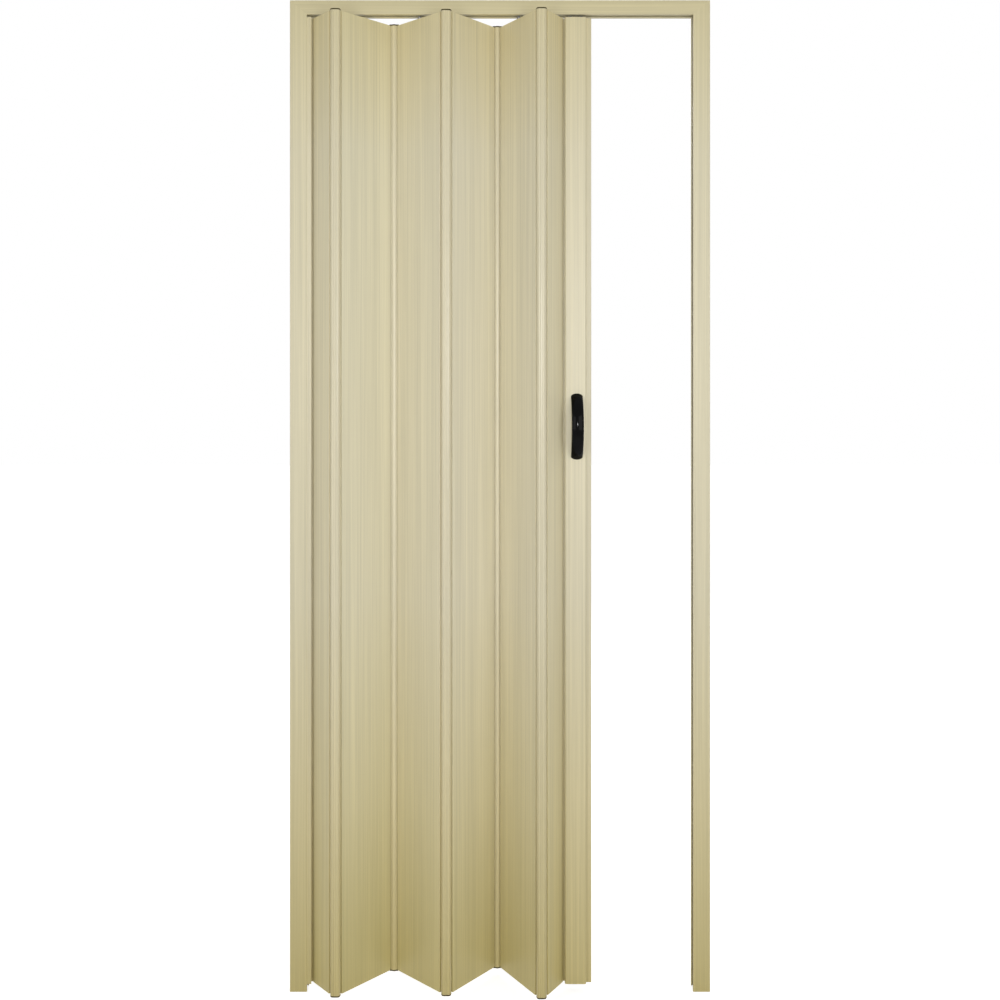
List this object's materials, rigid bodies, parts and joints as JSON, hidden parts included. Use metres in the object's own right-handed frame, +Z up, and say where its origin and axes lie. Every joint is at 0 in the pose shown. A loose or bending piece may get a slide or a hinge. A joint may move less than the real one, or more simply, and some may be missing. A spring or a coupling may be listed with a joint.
{
  "type": "accordion door",
  "caption": "Folding accordion door of hollow plastic panels on rounded hinge strips, hung by trolleys in a head rail between two jambs, with bow handles on its lead post.",
  "frame": {"origin": "floor level, middle of the frame's width, on the centre line of the rail", "axes": "+X along the rail towards the closing side, +Y away from the viewer, +Z up"},
  "size_m": [0.89, 0.1318, 2.1],
  "materials": {
    "pvc": "cream plastic with fine upright grain",
    "pvc_strip": "cream satin plastic",
    "dark_cap": "dark matt plastic",
    "handle": "glossy black plastic",
    "plug": "dark matt plastic",
    "steel": "plain steel",
    "nylon": "white nylon"
  },
  "bodies": {
    "frame": {"head_rail": "pvc", "hinge_jamb": "pvc", "strike_jamb": "pvc", "corner_bracket_left": "steel", "corner_bracket_right": "steel", "starter_strip": "pvc"},
    "leaf_1": {"panel_1": "pvc"},
    "strip_1": {"hinge_strip_1": "pvc_strip", "strip_caps_1": "dark_cap"},
    "leaf_2": {"panel_2": "pvc"},
    "strip_2": {"hinge_strip_2": "pvc_strip", "strip_caps_2": "dark_cap"},
    "leaf_3": {"panel_3": "pvc", "hanger_plug_3": "plug", "hanger_pin_3": "steel"},
    "carriage_3": {"trolley_3": "plug"},
    "wheels_3": {"wheelset_3": "nylon"},
    "strip_3": {"hinge_strip_3": "pvc_strip", "strip_caps_3": "dark_cap"},
    "leaf_4": {"panel_4": "pvc"},
    "strip_4": {"hinge_strip_4": "pvc_strip", "strip_caps_4": "dark_cap"},
    "leaf_5": {"panel_5": "pvc", "hanger_plug_5": "plug", "hanger_pin_5": "steel"},
    "carriage_5": {"trolley_5": "plug"},
    "wheels_5": {"wheelset_5": "nylon"},
    "strip_5": {"hinge_strip_5": "pvc_strip", "strip_caps_5": "dark_cap"},
    "leaf_6": {"panel_6": "pvc"},
    "lead": {"lead_post": "pvc", "lead_top_plug": "plug", "lead_bottom_plug": "plug", "lead_pin_a": "steel", "lead_pin_b": "steel", "lead_trolley_a": "plug", "lead_trolley_b": "plug", "front_handle": "handle", "rear_handle": "handle", "handle_screws": "steel"},
    "wheels_lead_a": {"lead_wheelset_a": "nylon"},
    "wheels_lead_b": {"lead_wheelset_b": "nylon"}
  },
  "joints": [
    {"name": "panel_1_fold", "type": "hinge", "parent": "frame", "child": "leaf_1", "pos_m": [-0.3965, 0, 1.0405], "axis": [0, 0, -1], "range_deg": [-38.6, 33]},
    {"name": "strip_1_turn", "type": "hinge", "parent": "leaf_1", "child": "strip_1", "pos_m": [-0.34979, -0.05188, 1.0405], "axis": [0, 0, 1], "range_deg": [-38.6, 33]},
    {"name": "panel_2_fold", "type": "hinge", "parent": "strip_1", "child": "leaf_2", "pos_m": [-0.33579, -0.05188, 1.0405], "axis": [0, 0, 1], "range_deg": [-38.6, 33]},
    {"name": "strip_2_turn", "type": "hinge", "parent": "leaf_2", "child": "strip_2", "pos_m": [-0.23693, 0.04671, 1.0405], "axis": [0, 0, -1], "range_deg": [-38.6, 33]},
    {"name": "panel_3_fold", "type": "hinge", "parent": "strip_2", "child": "leaf_3", "pos_m": [-0.22293, 0.04671, 1.0405], "axis": [0, 0, -1], "range_deg": [-38.6, 33]},
    {"name": "trolley_3_swivel", "type": "hinge", "parent": "leaf_3", "child": "carriage_3", "pos_m": [-0.17105, 0, 1.0405], "axis": [0, 0, 1], "range_deg": [-38.6, 33]},
    {"name": "wheels_3_spin", "type": "hinge", "parent": "carriage_3", "child": "wheels_3", "pos_m": [-0.17105, 0, 2.0793], "axis": [0, 1, 0], "continuous": true},
    {"name": "strip_3_turn", "type": "hinge", "parent": "leaf_3", "child": "strip_3", "pos_m": [-0.11917, -0.04671, 1.0405], "axis": [0, 0, 1], "range_deg": [-38.6, 33]},
    {"name": "panel_4_fold", "type": "hinge", "parent": "strip_3", "child": "leaf_4", "pos_m": [-0.10517, -0.04671, 1.0405], "axis": [0, 0, 1], "range_deg": [-38.6, 33]},
    {"name": "strip_4_turn", "type": "hinge", "parent": "leaf_4", "child": "strip_4", "pos_m": [-0.01267, 0.05788, 1.0405], "axis": [0, 0, -1], "range_deg": [-38.6, 33]},
    {"name": "panel_5_fold", "type": "hinge", "parent": "strip_4", "child": "leaf_5", "pos_m": [0.00133, 0.05788, 1.0405], "axis": [0, 0, -1], "range_deg": [-38.6, 33]},
    {"name": "trolley_5_swivel", "type": "hinge", "parent": "leaf_5", "child": "carriage_5", "pos_m": [0.04036, 0, 1.0405], "axis": [0, 0, 1], "range_deg": [-38.6, 33]},
    {"name": "wheels_5_spin", "type": "hinge", "parent": "carriage_5", "child": "wheels_5", "pos_m": [0.04036, 0, 2.0793], "axis": [0, 1, 0], "continuous": true},
    {"name": "strip_5_turn", "type": "hinge", "parent": "leaf_5", "child": "strip_5", "pos_m": [0.0794, -0.05788, 1.0405], "axis": [0, 0, 1], "range_deg": [-38.6, 33]},
    {"name": "panel_6_fold", "type": "hinge", "parent": "strip_5", "child": "leaf_6", "pos_m": [0.0934, -0.05788, 1.0405], "axis": [0, 0, 1], "range_deg": [-38.6, 33]},
    {"name": "lead_post_turn", "type": "hinge", "parent": "leaf_6", "child": "lead", "pos_m": [0.13244, 0, 1.0405], "axis": [0, 0, -1], "range_deg": [-38.6, 33]},
    {"name": "wheels_lead_a_spin", "type": "hinge", "parent": "lead", "child": "wheels_lead_a", "pos_m": [0.15044, 0, 2.0793], "axis": [0, 1, 0], "continuous": true},
    {"name": "wheels_lead_b_spin", "type": "hinge", "parent": "lead", "child": "wheels_lead_b", "pos_m": [0.17344, 0, 2.0793], "axis": [0, 1, 0], "continuous": true}
  ],
  "couplings": [
    {"joint": "strip_1_turn", "follows": "panel_1_fold", "ratio": 1},
    {"joint": "panel_2_fold", "follows": "panel_1_fold", "ratio": 1},
    {"joint": "strip_2_turn", "follows": "panel_1_fold", "ratio": 1},
    {"joint": "panel_3_fold", "follows": "panel_1_fold", "ratio": 1},
    {"joint": "trolley_3_swivel", "follows": "panel_1_fold", "ratio": 1},
    {"joint": "strip_3_turn", "follows": "panel_1_fold", "ratio": 1},
    {"joint": "panel_4_fold", "follows": "panel_1_fold", "ratio": 1},
    {"joint": "strip_4_turn", "follows": "panel_1_fold", "ratio": 1},
    {"joint": "panel_5_fold", "follows": "panel_1_fold", "ratio": 1},
    {"joint": "trolley_5_swivel", "follows": "panel_1_fold", "ratio": 1},
    {"joint": "strip_5_turn", "follows": "panel_1_fold", "ratio": 1},
    {"joint": "panel_6_fold", "follows": "panel_1_fold", "ratio": 1},
    {"joint": "lead_post_turn", "follows": "panel_1_fold", "ratio": 1}
  ]
}
